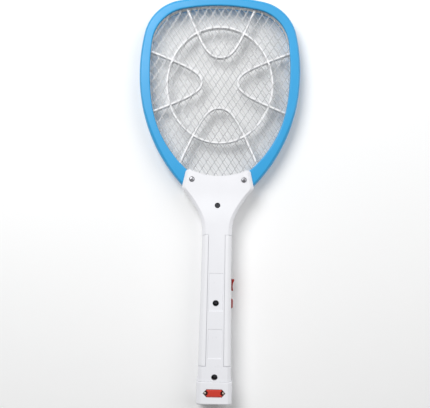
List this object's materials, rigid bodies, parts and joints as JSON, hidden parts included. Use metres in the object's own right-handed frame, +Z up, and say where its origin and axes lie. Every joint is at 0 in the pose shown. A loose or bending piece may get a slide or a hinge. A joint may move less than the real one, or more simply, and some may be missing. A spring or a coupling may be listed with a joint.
{
  "type": "electric fly swatter",
  "caption": "Racket-shaped electric fly swatter with a layered mesh head in an oval frame, a slim handle with side switches, and a charging plug that slides out of its tail.",
  "frame": {"origin": "middle of the resting plane, under the whole racket lying on its front face", "axes": "+Y from the tail cap to the top of the head, +X towards the switches, +Z up through the back face that carries the screws and the plug"},
  "size_m": [0.1742, 0.443, 0.0312],
  "materials": {
    "casing_white": "satin moulded",
    "grip_white": "fine-textured moulded",
    "frame_blue": "satin moulded",
    "spacer_white": "moulded",
    "mesh_metal": "expanded sheet",
    "screw_steel": "zinc plated",
    "plug_red": "moulded",
    "control_red": "moulded",
    "pin_brass": "nickel-flashed",
    "contact_brass": "stamped",
    "black_plastic": "moulded",
    "terminal_steel": "tinned",
    "board_green": "solder masked",
    "core_ferrite": "sintered",
    "winding_tape": "taped copper winding",
    "capacitor_red": "dipped film",
    "capacitor_ochre": "dipped film",
    "component_black": "epoxy",
    "resistor_beige": "coated",
    "ready_lens": "clear tinted",
    "charge_lens": "clear tinted",
    "cell_sleeve": "shrink sleeve",
    "cradle_white": "moulded",
    "wire_red": "insulated",
    "wire_black": "insulated"
  },
  "bodies": {
    "casing": {"back_shell": "casing_white", "front_shell": "casing_white", "left_grip_strip": "grip_white", "right_grip_strip": "grip_white", "tail_cap": "casing_white", "shoulder_screw_left": "screw_steel", "shoulder_screw_right": "screw_steel", "neck_screw": "screw_steel", "grip_screw": "screw_steel", "tail_screw": "screw_steel", "back_frame_ring": "frame_blue", "front_frame_ring": "frame_blue", "back_guard_mesh": "mesh_metal", "back_rib_spacer": "spacer_white", "centre_grid": "mesh_metal", "front_rib_spacer": "spacer_white", "front_guard_mesh": "mesh_metal", "plug_face": "plug_red", "contact_spring_left": "contact_brass", "contact_spring_right": "contact_brass", "rocker_housing": "black_plastic", "rocker_terminal_upper": "terminal_steel", "rocker_terminal_lower": "terminal_steel", "tact_switch_body": "component_black", "circuit_board": "board_green", "transformer_core": "core_ferrite", "transformer_winding": "winding_tape", "transistor": "component_black", "hv_capacitor": "capacitor_red", "dropper_capacitor": "capacitor_ochre", "bleed_resistor": "resistor_beige", "base_resistor": "resistor_beige", "multiplier_diode_1": "component_black", "multiplier_diode_2": "component_black", "rectifier_diode": "component_black", "ready_led": "ready_lens", "charge_led": "charge_lens", "battery_cradle": "cradle_white", "battery_cell": "cell_sleeve", "battery_tab_plus": "terminal_steel", "battery_tab_minus": "terminal_steel", "battery_lead_red": "wire_red", "battery_lead_black": "wire_black", "grid_lead": "wire_red", "guard_lead": "wire_black"},
    "rocker": {"rocker": "control_red"},
    "push_button": {"push_button": "control_red", "tact_plunger": "component_black"},
    "plug_carriage": {"pin_carrier": "black_plastic", "pin_left": "pin_brass", "pin_right": "pin_brass", "thumb_slide": "control_red"}
  },
  "joints": [
    {"name": "rocker_hinge", "type": "hinge", "parent": "casing", "child": "rocker", "pos_m": [0.013, -0.09035, 0.015], "axis": [0, 0, 1], "range_deg": [0, 12]},
    {"name": "button_press", "type": "slide", "parent": "casing", "child": "push_button", "axis": [-1, 0, 0], "range_m": [0, 0.0015], "stiffness_N_per_m": 300, "springref_m": -0.0005},
    {"name": "plug_slide", "type": "slide", "parent": "casing", "child": "plug_carriage", "axis": [0, 0, 1], "range_m": [0, 0.0185]}
  ]
}
